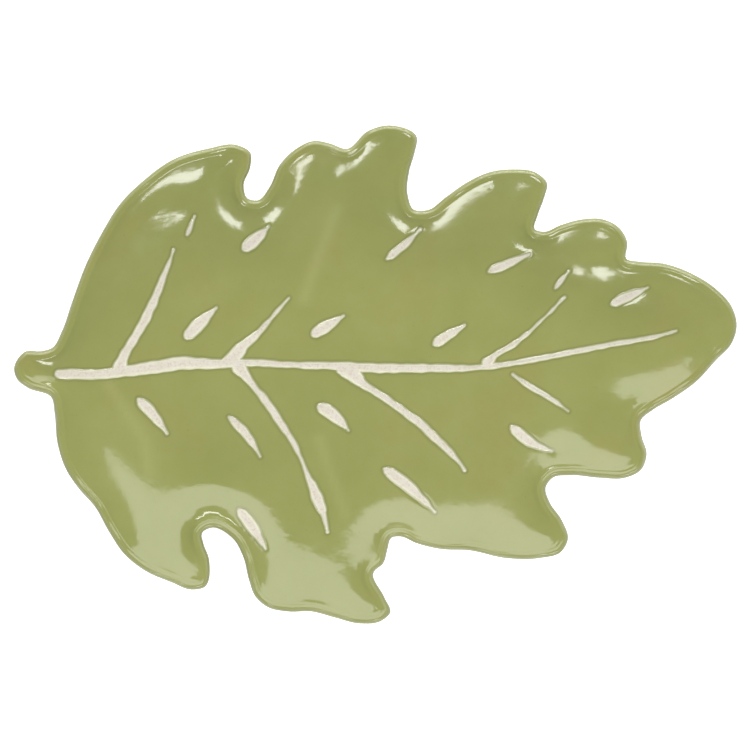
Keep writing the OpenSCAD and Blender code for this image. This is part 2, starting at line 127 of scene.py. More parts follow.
# Pressing leaves a flat middle over the foot, from which the leaf rises ever steeper into the lobes, up to
# a narrow level lip with soft corners. The lobes that reach furthest stand highest.
GLAZE_THICKNESS = 0.5 * MM
CLAY_THICKNESS = 4.6 * MM
foot_low, foot_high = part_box("foot_ring")
LEAF_FLOOR = foot_high.z + CLAY_THICKNESS + GLAZE_THICKNESS
RIM_RISE = 13 * MM
LIP_BAND = 3.3 * MM
TOP_CORNER = 1.9 * MM
WALL_POWER = 2
LIP_FALL = 1.5
FOOT_TOP_WIDTH = 6 * MM
FOOT_BROAD_RADIUS = 31 * MM
FOOT_NARROW_RADIUS = 23 * MM
foot_span = foot_high.x - foot_low.x - FOOT_BROAD_RADIUS - FOOT_NARROW_RADIUS - FOOT_TOP_WIDTH
foot_start_x = foot_low.x + FOOT_TOP_WIDTH / 2 + FOOT_BROAD_RADIUS
foot_centre_y = (foot_low.y + foot_high.y) / 2
foot_lean = (FOOT_BROAD_RADIUS - FOOT_NARROW_RADIUS) / foot_span
foot_slant = math.sqrt(1 - foot_lean**2)
HAND_WAVE = 0.3 * MM
HAND_WAVE_SIZE = 28 * MM
HAND_FADE = 8 * MM
# Soft swells and hollows that the hand leaves, each with its place as shares of the leaf's length and
# width, its half width and its height in mm
HAND_SWELLS = [
    [-0.3, 0.34, 12, 1.2],
    [-0.326, 0.27, 12, 1.2],
    [-0.345, 0.19, 12, 0.8],
    [-0.272, 0.335, 5, 0.5],
    [-0.063, 0.419, 4.5, 1],
    [-0.115, 0.361, 6, -0.6],
    [0.015, 0.37, 7, 0.5],
    [0.288, 0.226, 6, 1.3],
    [0.32, 0.226, 5, 0.9],
    [0.381, 0.17, 12, 1.6],
    [0.436, 0.13, 9, 0.9],
    [0.328, -0.062, 12, 1.2],
    [0.249, -0.158, 12, 1.1],
]
# The height follows from the distance to an outline of sides this long
COARSE_SPACING = 8 * MM
LEAST_SQUARED_OFF = 1e-10
edge_sides = []
coarse_edge = leaf_edge(COARSE_SPACING)
for i, corner in enumerate(coarse_edge):
    side = coarse_edge[(i + 1) % len(coarse_edge)] - corner
    edge_sides.append((corner.x, corner.y, side.x / side.length, side.y / side.length, side.length))


def edge_distance(x, y):
    """Distance to the leaf's edge, rounded off where two edges are equally near."""
    pull = 0.0
    for cx, cy, ux, uy, length in edge_sides:
        wx, wy = x - cx, y - cy
        along = wx * ux + wy * uy
        off = max(wx * wx + wy * wy - along * along, LEAST_SQUARED_OFF)
        ahead = length - along
        pull += (ahead / math.sqrt(off + ahead * ahead) + along / math.sqrt(off + along * along)) / off
    return math.sqrt(2 / pull)


def ease(t):
    t = min(1.0, max(0.0, t))
    return t * t * (3 - 2 * t)


def hump(distance, half):
    """A soft hump, 1 high in its middle and almost flat at twice its half width."""
    return math.exp(-((distance / half) ** 2))


def lip_height(x, y):
    reach = math.hypot(2 * x / LEAF_LENGTH, 2 * y / LEAF_WIDTH)
    return RIM_RISE * reach**LIP_FALL


def past_middle(x, y):
    """How far a place is past the flat middle, which reaches a little beyond the foot."""
    across, along = abs(y - foot_centre_y), x - foot_start_x
    side = along * foot_slant - across * foot_lean
    if side < 0:
        past_foot = math.hypot(across, along) - FOOT_BROAD_RADIUS
    elif side > foot_slant * foot_span:
        past_foot = math.hypot(across, along - foot_span) - FOOT_NARROW_RADIUS
    else:
        past_foot = across * foot_slant + along * foot_lean - FOOT_BROAD_RADIUS
    return max(0.0, past_foot - FOOT_TOP_WIDTH)


def pressed_height(x, y, distance):
    """Height of the glazed top as pressed, at a place that far from the edge."""
    past = past_middle(x, y)
    if past == 0:
        return LEAF_FLOOR
    share = past / (past + max(0.0, distance - LIP_BAND))
    return LEAF_FLOOR + lip_height(x, y) * share**WALL_POWER


def glazed_height(x, y, distance):
    """The pressed height with the slight waves that smoothing by hand leaves."""
    wave = noise.noise(Vector((x, y, 0)) / HAND_WAVE_SIZE) * HAND_WAVE
    for share_x, share_y, half, height in HAND_SWELLS:
        off = math.hypot(x - share_x * LEAF_LENGTH, y - share_y * LEAF_WIDTH)
        wave += height * MM * hump(off, half * MM)
    return pressed_height(x, y, distance) + wave * ease((distance - LIP_BAND) / HAND_FADE)


# A bend past this sine of its angle is sharp. It is eased in rounds, each a share of the way to straight.
SHARP_BEND = 0.42
EASING_ROUNDS = 30
EASING_SHARE = 0.6


def inset_ring(ring, step):
    """The ring moved inwards by step, and eased where a tight corner would fold it."""
    count = len(ring)
    moved = []
    for i, place in enumerate(ring):
        along = (ring[(i + 1) % count] - ring[i - 1]).normalized()
        moved.append(place + step * Vector((-along.y, along.x)))
    for _ in range(EASING_ROUNDS):
        tight = set()
        for i in range(count):
            before, after = moved[i] - moved[i - 1], moved[(i + 1) % count] - moved[i]
            sharp = before.cross(after) > SHARP_BEND * before.length * after.length
            if sharp or after.dot(ring[(i + 1) % count] - ring[i]) <= 0:
                tight.update((i - 1, i, (i + 1) % count))
        if not tight:
            break
        for i in tight:
            moved[i] = moved[i].lerp((moved[i - 1] + moved[(i + 1) % count]) / 2, EASING_SHARE)
    return moved


def new_ring(mesh, places):
    """A closed ring of new vertices and edges."""
    ring = [mesh.verts.new(place) for place in places]
    for i in range(len(ring)):
        mesh.edges.new((ring[i - 1], ring[i]))
    return ring


def ring_edges(mesh, ring):
    return [mesh.edges.get((ring[i - 1], ring[i])) for i in range(len(ring))]


def extruded(mesh, row, edges):
    """Extrudes the edges of a row of vertices and returns the new vertices in the same order."""
    made = bmesh.ops.extrude_edge_only(mesh, edges=edges)["geom"]
    fresh = {v for v in made if isinstance(v, bmesh.types.BMVert)}
    return [next(e.other_vert(v) for e in v.link_edges if e.other_vert(v) in fresh) for v in row]


def rim_rings(spacing, insets):
    """Places of the rings that follow the rim, each inset further, by insets in mm."""
    rings = [leaf_edge(spacing)]
    for before, after in zip(insets, insets[1:]):
        rings.append(inset_ring(rings[-1], (after - before) * MM))
    return rings


# Metres within which a cut meets a vertex
SAME_PLACE = 1e-7


def flat_leaf(mesh, rings, grid_step):
    """A flat leaf: rings along the rim, and a grid of squares inside the last ring."""
    made = [new_ring(mesh, [(place.x, place.y, 0) for place in rings[0]])]
    for places in rings[1:]:
        ring = extruded(mesh, made[-1], ring_edges(mesh, made[-1]))
        for v, place in zip(ring, places):
            v.co.xy = place
        made.append(ring)
    inner_edges = ring_edges(mesh, made[-1])
    middle = list(bmesh.ops.contextual_create(mesh, geom=inner_edges)["faces"])
    geometry = middle + inner_edges + made[-1]
    for normal, half in ((Vector((1, 0, 0)), LEAF_LENGTH / 2), (Vector((0, 1, 0)), LEAF_WIDTH / 2)):
        for k in range(-int(half / grid_step), int(half / grid_step) + 1):
            cut = bmesh.ops.bisect_plane(
                mesh,
                geom=geometry,
                dist=SAME_PLACE,
                plane_co=normal * (k + 0.5) * grid_step,
                plane_no=normal,
            )
            geometry = cut["geom"]
    inside = {f for f in geometry if isinstance(f, bmesh.types.BMFace)}
    return made, inside


def finished_piece(mesh, name, material, *nodes):
    """Makes the object of a piece, rides it on the plate and lets it stand for its solids."""
    for f in mesh.faces:
        f.smooth = True
    data = bpy.data.meshes.new(name)
    mesh.to_mesh(data)
    mesh.free()
    piece = bpy.data.objects.new(name, data)
    bpy.context.scene.collection.objects.link(piece)
    data.materials.append(material)
    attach(piece, "root")
    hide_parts(*nodes)
    return piece


def srgb(hex_colour):
    """A colour written as sRGB hex, in linear light."""
    channels = [int(hex_colour[k : k + 2], 16) / 255 for k in (1, 3, 5)]
    linear = [c / 12.92 if c <= 0.04045 else ((c + 0.055) / 1.055) ** 2.4 for c in channels]
    return (*linear, 1)


def new_material(name):
    material = bpy.data.materials.new(name)
    material.use_nodes = True
    material.node_tree.nodes.clear()
    return material.node_tree, material


def add_node(tree, kind, sockets=None, links=None, **settings):
    """Adds a node with its settings, its sockets' values and its links."""
    node = tree.nodes.new(kind)
    for name, value in settings.items():
        setattr(node, name, value)
    for name, value in (sockets or {}).items():
        node.inputs[name].default_value = value
    for name, source in (links or {}).items():
        tree.links.new(source, node.inputs[name])
    return node


SPONGE_SIZE = 14.29 * MM
# Real grit and grain are finer, and are drawn this coarse so that they show
GRIT_SIZE = 1.429 * MM
GRAIN_SIZE = 0.6667 * MM


def add_bare_clay(name, light, dark, roughness):
    """Bare fired stoneware: dry and dull, mottled by the sponge, with dark grit half a millimetre wide."""
    tree, material = new_material(name)
    place = add_node(tree, "ShaderNodeTexCoord").outputs["Object"]
    sponge = add_node(
        tree,
        "ShaderNodeTexNoise",
        {"Scale": 1 / SPONGE_SIZE, "Detail": 6, "Roughness": 0.65},
        {"Vector": place},
    )
    clay_tone = add_node(
        tree,
        "ShaderNodeMix",
        {"A": srgb(dark), "B": srgb(light)},
        {"Factor": sponge.outputs["Fac"]},
        data_type="RGBA",
    )
    grit = add_node(tree, "ShaderNodeTexVoronoi", {"Scale": 1 / GRIT_SIZE}, {"Vector": place})
    grit_share = add_node(
        tree,
        "ShaderNodeMapRange",
        {"From Min": 0.12, "From Max": 0.2, "To Min": 0.35, "To Max": 0.0},
        {"Value": grit.outputs["Distance"]},
    )
    clay_colour = add_node(
        tree,
        "ShaderNodeMix",
        {"B": srgb("#8a7358")},
        {"Factor": grit_share.outputs["Result"], "A": clay_tone.outputs["Result"]},
        data_type="RGBA",
    )
    grain = add_node(tree, "ShaderNodeTexNoise", {"Scale": 1 / GRAIN_SIZE, "Detail": 3}, {"Vector": place})
    grain_bump = add_node(
        tree, "ShaderNodeBump", {"Strength": 0.4, "Distance": 0.2 * MM}, {"Height": grain.outputs["Fac"]}
    )
    dry = add_node(
        tree,
        "ShaderNodeBsdfPrincipled",
        {"Roughness": roughness},
        {"Base Color": clay_colour.outputs["Result"], "Normal": grain_bump.outputs["Normal"]},
    )
    add_node(tree, "ShaderNodeOutputMaterial", links={"Surface": dry.outputs[0]})
    return material


RIM_SPACING = 1.3 * MM
CLAY_INSETS = [0.6, 1.2, 2.0, 3.0, 4.0, 5.2]
CLAY_GRID = 3 * MM
# The clay's top stays hidden this far under the glaze's
CLAY_COVER = 1.5 * GLAZE_THICKNESS
# Bare as it left the mould: pale buff and very dull
buff_stoneware = add_bare_clay("buff_stoneware_bare", "#ddd0b4", "#c9b995", 0.85)
clay_mesh = bmesh.new()
clay_rings = rim_rings(RIM_SPACING, [0] + CLAY_INSETS)[1:]
clay_rim, _ = flat_leaf(clay_mesh, clay_rings, CLAY_GRID)
rim_inset = {v: inset * MM for ring, inset in zip(clay_rim, CLAY_INSETS) for v in ring}
top_verts = list(clay_mesh.verts)
copied = bmesh.ops.duplicate(clay_mesh, geom=top_verts + list(clay_mesh.edges) + list(clay_mesh.faces))
twin = copied["vert_map"]
for v in top_verts:
    x, y = v.co.xy
    distance = rim_inset.get(v, edge_distance(x, y))
    corner = max(0.0, TOP_CORNER - distance)
    v.co.z = glazed_height(x, y, distance) - CLAY_COVER - corner
    twin[v].co.z = pressed_height(x, y, distance) - CLAY_THICKNESS - GLAZE_THICKNESS + corner
lower_rim = [twin[v] for v in clay_rim[0]]
side_edges = ring_edges(clay_mesh, clay_rim[0]) + ring_edges(clay_mesh, lower_rim)
bmesh.ops.bridge_loops(clay_mesh, edges=side_edges)
bmesh.ops.recalc_face_normals(clay_mesh, faces=clay_mesh.faces)
clay_piece = finished_piece(clay_mesh, "pressed_clay_leaf", buff_stoneware, "clay_body")

# Foot ring. A strip of the same clay, luted on under the flat middle while leather hard, its edges
# softened with a wet sponge and its standing face wiped free of glaze. Its profile is given across and up,
# as shares of its top width and its height.
FOOT_PROFILE = [
    (-0.5, 1), (-0.42, 0.6), (-0.34, 0.25), (-0.27, 0.07), (-0.2, 0),
    (0.2, 0), (0.27, 0.07), (0.34, 0.25), (0.42, 0.6), (0.5, 1),
]
FOOT_BROAD_STEPS = 72
FOOT_NARROW_STEPS = 54
# The sponge leaves the foot's sides slightly uneven
FOOT_WAVE = 0.15 * MM
FOOT_WAVES_PER_METRE = 60
touch = math.acos(foot_lean)
foot_sections = [
    (foot_start_x, FOOT_BROAD_RADIUS, touch + k / FOOT_BROAD_STEPS * 2 * (math.pi - touch))
    for k in range(FOOT_BROAD_STEPS + 1)
]
foot_sections += [
    (foot_start_x + foot_span, FOOT_NARROW_RADIUS, (2 * k / FOOT_NARROW_STEPS - 1) * touch)
    for k in range(FOOT_NARROW_STEPS + 1)
]
foot_mesh = bmesh.new()
first_section = new_ring(foot_mesh, [(0, 0, 0)] * len(FOOT_PROFILE))
section = first_section
for k, (centre_x, radius, turn) in enumerate(foot_sections):
    if k > 0:
        section = extruded(foot_mesh, section, ring_edges(foot_mesh, section))
    for v, (across, up) in zip(section, FOOT_PROFILE):
        reach = radius + across * FOOT_TOP_WIDTH
        spot = Vector((reach * math.cos(turn), reach * math.sin(turn), up))
        uneven = noise.noise(spot * FOOT_WAVES_PER_METRE) * FOOT_WAVE
        reach += uneven * (up > 0)
        v.co = (
            centre_x + reach * math.cos(turn),
            foot_centre_y + reach * math.sin(turn),
            up * foot_high.z,
        )
closing = ring_edges(foot_mesh, section) + ring_edges(foot_mesh, first_section)
bmesh.ops.bridge_loops(foot_mesh, edges=closing)
bmesh.ops.recalc_face_normals(foot_mesh, faces=foot_mesh.faces)
# Sponged smooth before firing: a shade darker and a little less dull than the leaf's underside
sponged_stoneware = add_bare_clay("buff_stoneware_sponged", "#d9cbad", "#c4b38e", 0.78)
foot_piece = finished_piece(foot_mesh, "luted_foot_ring", sponged_stoneware, "foot_ring")

# Pale lines. Each is a strip of light slip on the clay, painted over with wax resist before glazing, so
# that the glaze draws back from it. It is fired bare, a little below the glaze round it.
LINE_WIDTH = 5.1 * MM
LINE_STEP = 1.2 * MM
# Each place on a vein is given as shares of the leaf's length and width, with its width as a share of
# LINE_WIDTH
MIDRIB = [
    [-0.438, 0.001, 0.70], [-0.423, 0.001, 0.83], [-0.392, 0.000, 0.74],
    [-0.351, 0.006, 0.82], [-0.298, 0.017, 1.00], [-0.271, 0.023, 0.98],
    [-0.243, 0.023, 0.88], [-0.218, 0.022, 0.71], [-0.174, 0.024, 0.55], [-0.125, 0.020, 0.45],
    [-0.077, 0.018, 0.55], [-0.035, 0.016, 0.68], [0.007, 0.013, 0.72],
    [0.090, 0.013, 0.61], [0.131, 0.013, 0.46], [0.173, 0.019, 0.41],
    [0.242, 0.036, 0.41], [0.311, 0.056, 0.38], [0.346, 0.065, 0.39],
    [0.378, 0.073, 0.32], [0.401, 0.081, 0.17], [0.417, 0.088, 0.06],
]
UPPER_VEINS = [
    [
        [-0.355, 0.013, 1.14], [-0.350, 0.035, 0.76], [-0.343, 0.053, 0.67], [-0.332, 0.079, 0.67],
        [-0.320, 0.109, 0.73], [-0.312, 0.134, 0.71], [-0.305, 0.156, 0.62], [-0.298, 0.182, 0.52],
        [-0.290, 0.212, 0.38], [-0.284, 0.234, 0.24], [-0.280, 0.251, 0.06],
    ],
    [
        [-0.211, 0.026, 0.50], [-0.200, 0.031, 1.05], [-0.191, 0.044, 1.10], [-0.182, 0.059, 0.76],
        [-0.169, 0.075, 0.59], [-0.157, 0.093, 0.45], [-0.143, 0.116, 0.33], [-0.131, 0.136, 0.23],
        [-0.120, 0.154, 0.08],
    ],
    [
        [0.155, 0.023, 0.80], [0.160, 0.029, 0.67], [0.167, 0.039, 0.45], [0.177, 0.048, 0.36],
        [0.191, 0.060, 0.39], [0.203, 0.073, 0.38], [0.214, 0.086, 0.30], [0.228, 0.105, 0.24],
        [0.243, 0.125, 0.20], [0.255, 0.144, 0.18], [0.263, 0.155, 0.08],
    ],
]
LOWER_VEINS = [
    [
        [-0.189, 0.014, 1.15], [-0.180, -0.002, 0.70], [-0.172, -0.016, 0.53], [-0.164, -0.032, 0.50],
        [-0.154, -0.049, 0.64], [-0.135, -0.090, 0.62],
        [-0.116, -0.132, 0.45], [-0.102, -0.174, 0.30], [-0.097, -0.192, 0.32],
        [-0.092, -0.210, 0.47], [-0.086, -0.229, 0.73], [-0.080, -0.251, 0.91], [-0.075, -0.269, 0.79],
        [-0.071, -0.285, 0.44], [-0.066, -0.317, 0.08],
    ],
    [
        [-0.049, 0.010, 0.60], [-0.036, 0.006, 1.20], [-0.027, -0.005, 1.09], [-0.017, -0.018, 0.64],
        [-0.005, -0.030, 0.55], [0.012, -0.046, 0.55], [0.029, -0.063, 0.55], [0.045, -0.080, 0.59],
        [0.062, -0.098, 0.62],
        [0.077, -0.119, 0.67], [0.091, -0.138, 0.59], [0.103, -0.155, 0.48], [0.112, -0.169, 0.33],
        [0.119, -0.181, 0.23], [0.124, -0.193, 0.08],
    ],
    [
        [0.191, 0.000, 0.18], [0.196, -0.006, 0.30], [0.206, -0.015, 0.38], [0.218, -0.026, 0.41],
        [0.231, -0.037, 0.39], [0.242, -0.047, 0.35], [0.252, -0.056, 0.27], [0.260, -0.065, 0.17],
        [0.268, -0.074, 0.06],
    ],
]
# The short strokes between the veins: the start and end of each, and its width and how far it bows, both as
# shares of MARK_WIDTH
MARK_WIDTH = 4.7 * MM
UPPER_MARKS = [
    [[-0.263, 0.076], [-0.221, 0.134], 1.00, 0.00],
    [[-0.183, 0.253], [-0.148, 0.297], 0.94, -0.06],
    [[-0.087, 0.080], [-0.044, 0.118], 0.85, 0.00],
    [[0.016, 0.233], [0.063, 0.293], 0.54, -0.09],
    [[0.081, 0.061], [0.124, 0.099], 0.73, 0.00],
    [[0.158, 0.207], [0.214, 0.242], 0.64, 0.00],
    [[0.328, 0.142], [0.377, 0.174], 0.72, 0.00],
    [[-0.261, 0.282], [-0.250, 0.319], 0.30, 0.00],
    [[0.250, 0.174], [0.268, 0.207], 0.35, 0.00],
]
LOWER_MARKS = [
    [[-0.330, -0.049], [-0.289, -0.119], 0.82, 0.12],
    [[-0.203, -0.086], [-0.160, -0.166], 0.64, 0.25],
    [[-0.079, -0.063], [-0.037, -0.113], 0.95, 0.20],
    [[-0.189, -0.272], [-0.152, -0.351], 0.92, 0.10],
    [[0.012, -0.190], [0.083, -0.277], 0.90, 0.20],
    [[0.189, -0.104], [0.245, -0.153], 0.80, -0.30],
]


def drawn_vein(shares):
    """Places and half widths along a vein, with steps of about a millimetre."""
    knots = [(on_leaf(share), share[2] * LINE_WIDTH / 2) for share in shares]
    stroke = []
    for k in range(len(knots) - 1):
        (here, near_half), (there, far_half) = knots[k], knots[k + 1]
        before = knots[max(k - 1, 0)][0]
        after = knots[min(k + 2, len(knots) - 1)][0]
        leave, arrive = (there - before) / 2, (after - here) / 2
        steps = max(2, round((there - here).length / LINE_STEP))
        for n in range(steps):
            t = n / steps
            place = curve_place(here, there, leave, arrive, t)
            stroke.append((place, near_half + (far_half - near_half) * ease(t)))
    stroke.append(knots[-1])
    return stroke


MARK_STEPS = 16
# A stroke's width follows a half wave from this many degrees to its end, after a rounded start
MARK_WAVE_START = 46
MARK_ROUND_SHARE = 0.12
MARK_ROUND_START = 0.004
MARK_LEAST_SHARE = 0.04


def drawn_mark(shares):
    """Places and half widths along a short stroke, round where the brush went down and drawn to a point."""
    start, end = on_leaf(shares[0]), on_leaf(shares[1])
    heading = (end - start).normalized()
    bow = shares[3] * MARK_WIDTH * Vector((-heading.y, heading.x))
    stroke = []
    for n in range(MARK_STEPS + 1):
        t = n / MARK_STEPS
        full = math.sin(math.radians(MARK_WAVE_START + (180 - MARK_WAVE_START) * t))
        round_start = math.sqrt(min(1.0, (t + MARK_ROUND_START) / MARK_ROUND_SHARE))
        half = max(MARK_LEAST_SHARE, full * min(1.0, round_start)) * shares[2] * MARK_WIDTH / 2
        stroke.append((start.lerp(end, t) + 4 * t * (1 - t) * bow, half))
    return stroke


strokes = {"midrib_line": drawn_vein(MIDRIB)}
for side_name, veins, marks in (
    ("upper", UPPER_VEINS, UPPER_MARKS),
    ("lower", LOWER_VEINS, LOWER_MARKS),
):
    for n, shares in enumerate(veins, 1):
        strokes[f"{side_name}_vein_{n}"] = drawn_vein(shares)
    for n, shares in enumerate(marks, 1):
        strokes[f"{side_name}_mark_{n}"] = drawn_mark(shares)
# The glaze runs in a little over the edge of each line, and less over the short strokes
VEIN_CREEP = 0.46 * MM
MARK_CREEP = 0.2 * MM
LEAST_HALF = 0.12 * MM
for name, stroke in strokes.items():
    creep = MARK_CREEP if "mark" in name else VEIN_CREEP
    strokes[name] = [(place, max(half - creep, LEAST_HALF)) for place, half in stroke]
# Distances to the lines are measured this far out
LINE_REACH = 2.4 * MM
stroke_boxes = []
for stroke in strokes.values():
    margin = max(half for _, half in stroke) + LINE_REACH
    xs, ys = [place.x for place, _ in stroke], [place.y for place, _ in stroke]
    stroke_boxes.append((min(xs) - margin, max(xs) + margin, min(ys) - margin, max(ys) + margin, stroke))


def line_distance(x, y):
    """Distance from a place to the nearest line's edge, negative on the line, up to LINE_REACH."""
    nearest = LINE_REACH
    for x_low, x_high, y_low, y_high, stroke in stroke_boxes:
        if not (x_low < x < x_high and y_low < y < y_high):
            continue
        for (here, near_half), (there, far_half) in zip(stroke, stroke[1:]):
            way_x, way_y = there.x - here.x, there.y - here.y
            squared = way_x * way_x + way_y * way_y
            t = ((x - here.x) * way_x + (y - here.y) * way_y) / squared
            t = min(1.0, max(0.0, t))
            off = math.hypot(x - here.x - t * way_x, y - here.y - t * way_y)
            nearest = min(nearest, off - near_half - t * (far_half - near_half))
    return nearest


# Cream slip, fired bare: a dry, dull cream with a pinkish grit, a little yellower along its edge. Real grit
# is finer, and is drawn this coarse so that it shows.
WASH_SIZE = 3.846 * MM
SLIP_GRIT_SIZE = 0.9091 * MM
tree, cream_slip = new_material("cream_slip_bare")
place = add_node(tree, "ShaderNodeTexCoord").outputs["Object"]
wash = add_node(
    tree, "ShaderNodeTexNoise", {"Scale": 1 / WASH_SIZE, "Detail": 4, "Roughness": 0.6}, {"Vector": place}
)
slip_tone = add_node(
    tree,
    "ShaderNodeMix",
    {"A": srgb("#d3ccba"), "B": srgb("#e6e1d6")},
    {"Factor": wash.outputs["Fac"]},
    data_type="RGBA",
)
slip_grit = add_node(
    tree, "ShaderNodeTexNoise", {"Scale": 1 / SLIP_GRIT_SIZE, "Detail": 2}, {"Vector": place}
)
slip_grit_share = add_node(
    tree,
    "ShaderNodeMapRange",
    {"From Min": 0.5, "From Max": 0.7, "To Max": 0.6},
    {"Value": slip_grit.outputs["Fac"]},
)
slip_colour = add_node(
    tree,
    "ShaderNodeMix",
    {"B": srgb("#cbb8a2")},
    {"Factor": slip_grit_share.outputs["Result"], "A": slip_tone.outputs["Result"]},
    data_type="RGBA",
)
slip_edge = add_node(tree, "ShaderNodeAttribute", attribute_name="slip_edge").outputs["Fac"]
slip_edge_colour = add_node(
    tree,
    "ShaderNodeMix",
    {"B": srgb("#efebd2")},
    {"Factor": slip_edge, "A": slip_colour.outputs["Result"]},
    data_type="RGBA",
)
slip_bump = add_node(
    tree, "ShaderNodeBump", {"Strength": 0.5, "Distance": 0.2 * MM}, {"Height": slip_grit.outputs["Fac"]}
)
slip_skin = add_node(
    tree,
    "ShaderNodeBsdfPrincipled",
    {"Roughness": 0.6},
    {"Base Color": slip_edge_colour.outputs["Result"], "Normal": slip_bump.outputs["Normal"]},
)
add_node(tree, "ShaderNodeOutputMaterial", links={"Surface": slip_skin.outputs[0]})
SLIP_DEPTH = 0.22 * MM
# Each strip runs in under the glaze by this much
SLIP_MARGIN = 0.3 * MM
# The midrib lies this far over the ends of the veins
MIDRIB_LAP = 0.03 * MM
# Places across a strip as shares of its half width, the share where the yellower edge starts, and the
# distance over which that edge fades where two lines join
ACROSS = [-1, -0.75, -0.4, 0, 0.4, 0.75, 1]
EDGE_FROM = 0.4
JOIN_FADE = 0.4 * MM
for name, stroke in strokes.items():
    lap = 0.0 if name == "midrib_line" else MIDRIB_LAP
    strip = bmesh.new()
    edge_layer = strip.verts.layers.float.new("slip_edge")
    row = [strip.verts.new((0, 0, 0)) for _ in ACROSS]
    for pair in zip(row, row[1:]):
        strip.edges.new(pair)
    for k, (spot, half) in enumerate(stroke):
        way = (stroke[min(k + 1, len(stroke) - 1)][0] - stroke[max(k - 1, 0)][0]).normalized()
        reach = half + SLIP_MARGIN
        if k > 0:
            row = extruded(strip, row, [strip.edges.get(pair) for pair in zip(row, row[1:])])
        if k in (0, len(stroke) - 1):
            spot = spot + way * reach * (1 if k else -1)
        for v, across in zip(row, ACROSS):
            x, y = spot + across * reach * Vector((-way.y, way.x))
            joined = ease((abs(across) * reach - half - line_distance(x, y)) / JOIN_FADE)
            v[edge_layer] = max(0.0, (abs(across) - EDGE_FROM) / (1 - EDGE_FROM)) * (1 - joined)
            v.co = (x, y, glazed_height(x, y, edge_distance(x, y)) - SLIP_DEPTH - lap)
    bmesh.ops.recalc_face_normals(strip, faces=strip.faces)
    if sum(f.normal.z for f in strip.faces) < 0:
        bmesh.ops.reverse_faces(strip, faces=strip.faces)
    line_piece = finished_piece(strip, f"slip_{name}", cream_slip, name)

# Glaze. A glossy, slightly mottled olive green glaze, poured over the top and wiped off a little way under
# the lip. It breaks thin and pale over the lip, where the pale line is also a painted highlight, gathers
# darker along the leaf's edge, under the lip and round each waxed line, where the darker colour is also
# painted shade, and stands as a low rounded bead round the lines.
# Insets in mm of the mesh's rings, over the lip and under it
RING_INSETS = [0, 0.08, 0.25, 0.5, 0.8, 1.1, 1.45, 1.75, 2.05, 2.4, 2.8, 3.2, 3.5, 3.9, 4.4, 5.0]
UNDER_INSETS = [0, 0.15, 0.6, 1.3, 2.2, 3.2, 5.0, 7.0]
GRID_STEP = 2 * MM
# Squares nearer to a line than this are cut finer
FINE_REACH = LINE_REACH - 0.1 * MM
FINE_CUTS = 3
# The lip's lower corner, and the slightly uneven low ridge along its crest
LIP_THICKNESS = CLAY_THICKNESS + 2 * GLAZE_THICKNESS
LOW_CORNER = 2.2 * MM
LIP_RIDGE = 0.4 * MM
RIDGE_INSET = 1.5 * MM
RIDGE_HALF = 0.75 * MM
RIDGE_MEAN_SHARE = 0.7
RIDGE_WAVE_SIZE = 9 * MM
# The glaze steps down to each line along a wobbly edge, with the bead beside the step
GROOVE_DEPTH = 0.5 * MM
GROOVE_WIDTH = 0.7 * MM
BEAD_HEIGHT = 0.12 * MM
BEAD_OFF = 0.7 * MM
BEAD_HALF = 0.6 * MM
WAX_WOBBLE = 0.36 * MM
WAX_WOBBLE_SIZE = 4 * MM
# Where it is thin and where it gathers, at the rim, round the lines and under the lip. The pale line near
# the rim is also a painted highlight, and the darker gathered glaze is also painted shade.
RIM_THIN_AND_HIGHLIGHT_SHARE = 0.18
RIM_THIN_AND_HIGHLIGHT_INSET = 0.95 * MM
THIN_AND_HIGHLIGHT_HALF = 0.45 * MM
RIM_POOL_AND_SHADE_HALF = 0.4 * MM
LINE_POOL_AND_SHADE_OFF = 0.85 * MM
LINE_POOL_AND_SHADE_HALF = 0.4 * MM
UNDER_POOL_AND_SHADE_HALF = 1.2 * MM
UNDER_THIN_FROM_MM = 4.5
# Faint paler streaks of painted reflection, where light would catch soft folds in the glaze, each given by
# places as shares of the leaf's length and width
REFLECTION_STREAK_HALF = 2.4 * MM
REFLECTION_STREAK_SHARES = [
    [[-0.054, 0.33], [-0.078, 0.24], [-0.1, 0.15]],
    [[-0.37, -0.02], [-0.32, -0.13], [-0.314, -0.2]],
    [[-0.078, -0.13], [-0.042, -0.28]],
]
reflection_streaks = [[on_leaf(share) for share in shares] for shares in REFLECTION_STREAK_SHARES]


def way_off(x, y, way):
    """Distance from a place to a way of straight parts."""
    nearest = math.inf
    for here, there in zip(way, way[1:]):
        part = there - here
        t = min(1.0, max(0.0, (Vector((x, y)) - here).dot(part) / part.length_squared))
        nearest = min(nearest, (here + t * part - Vector((x, y))).length)
    return nearest


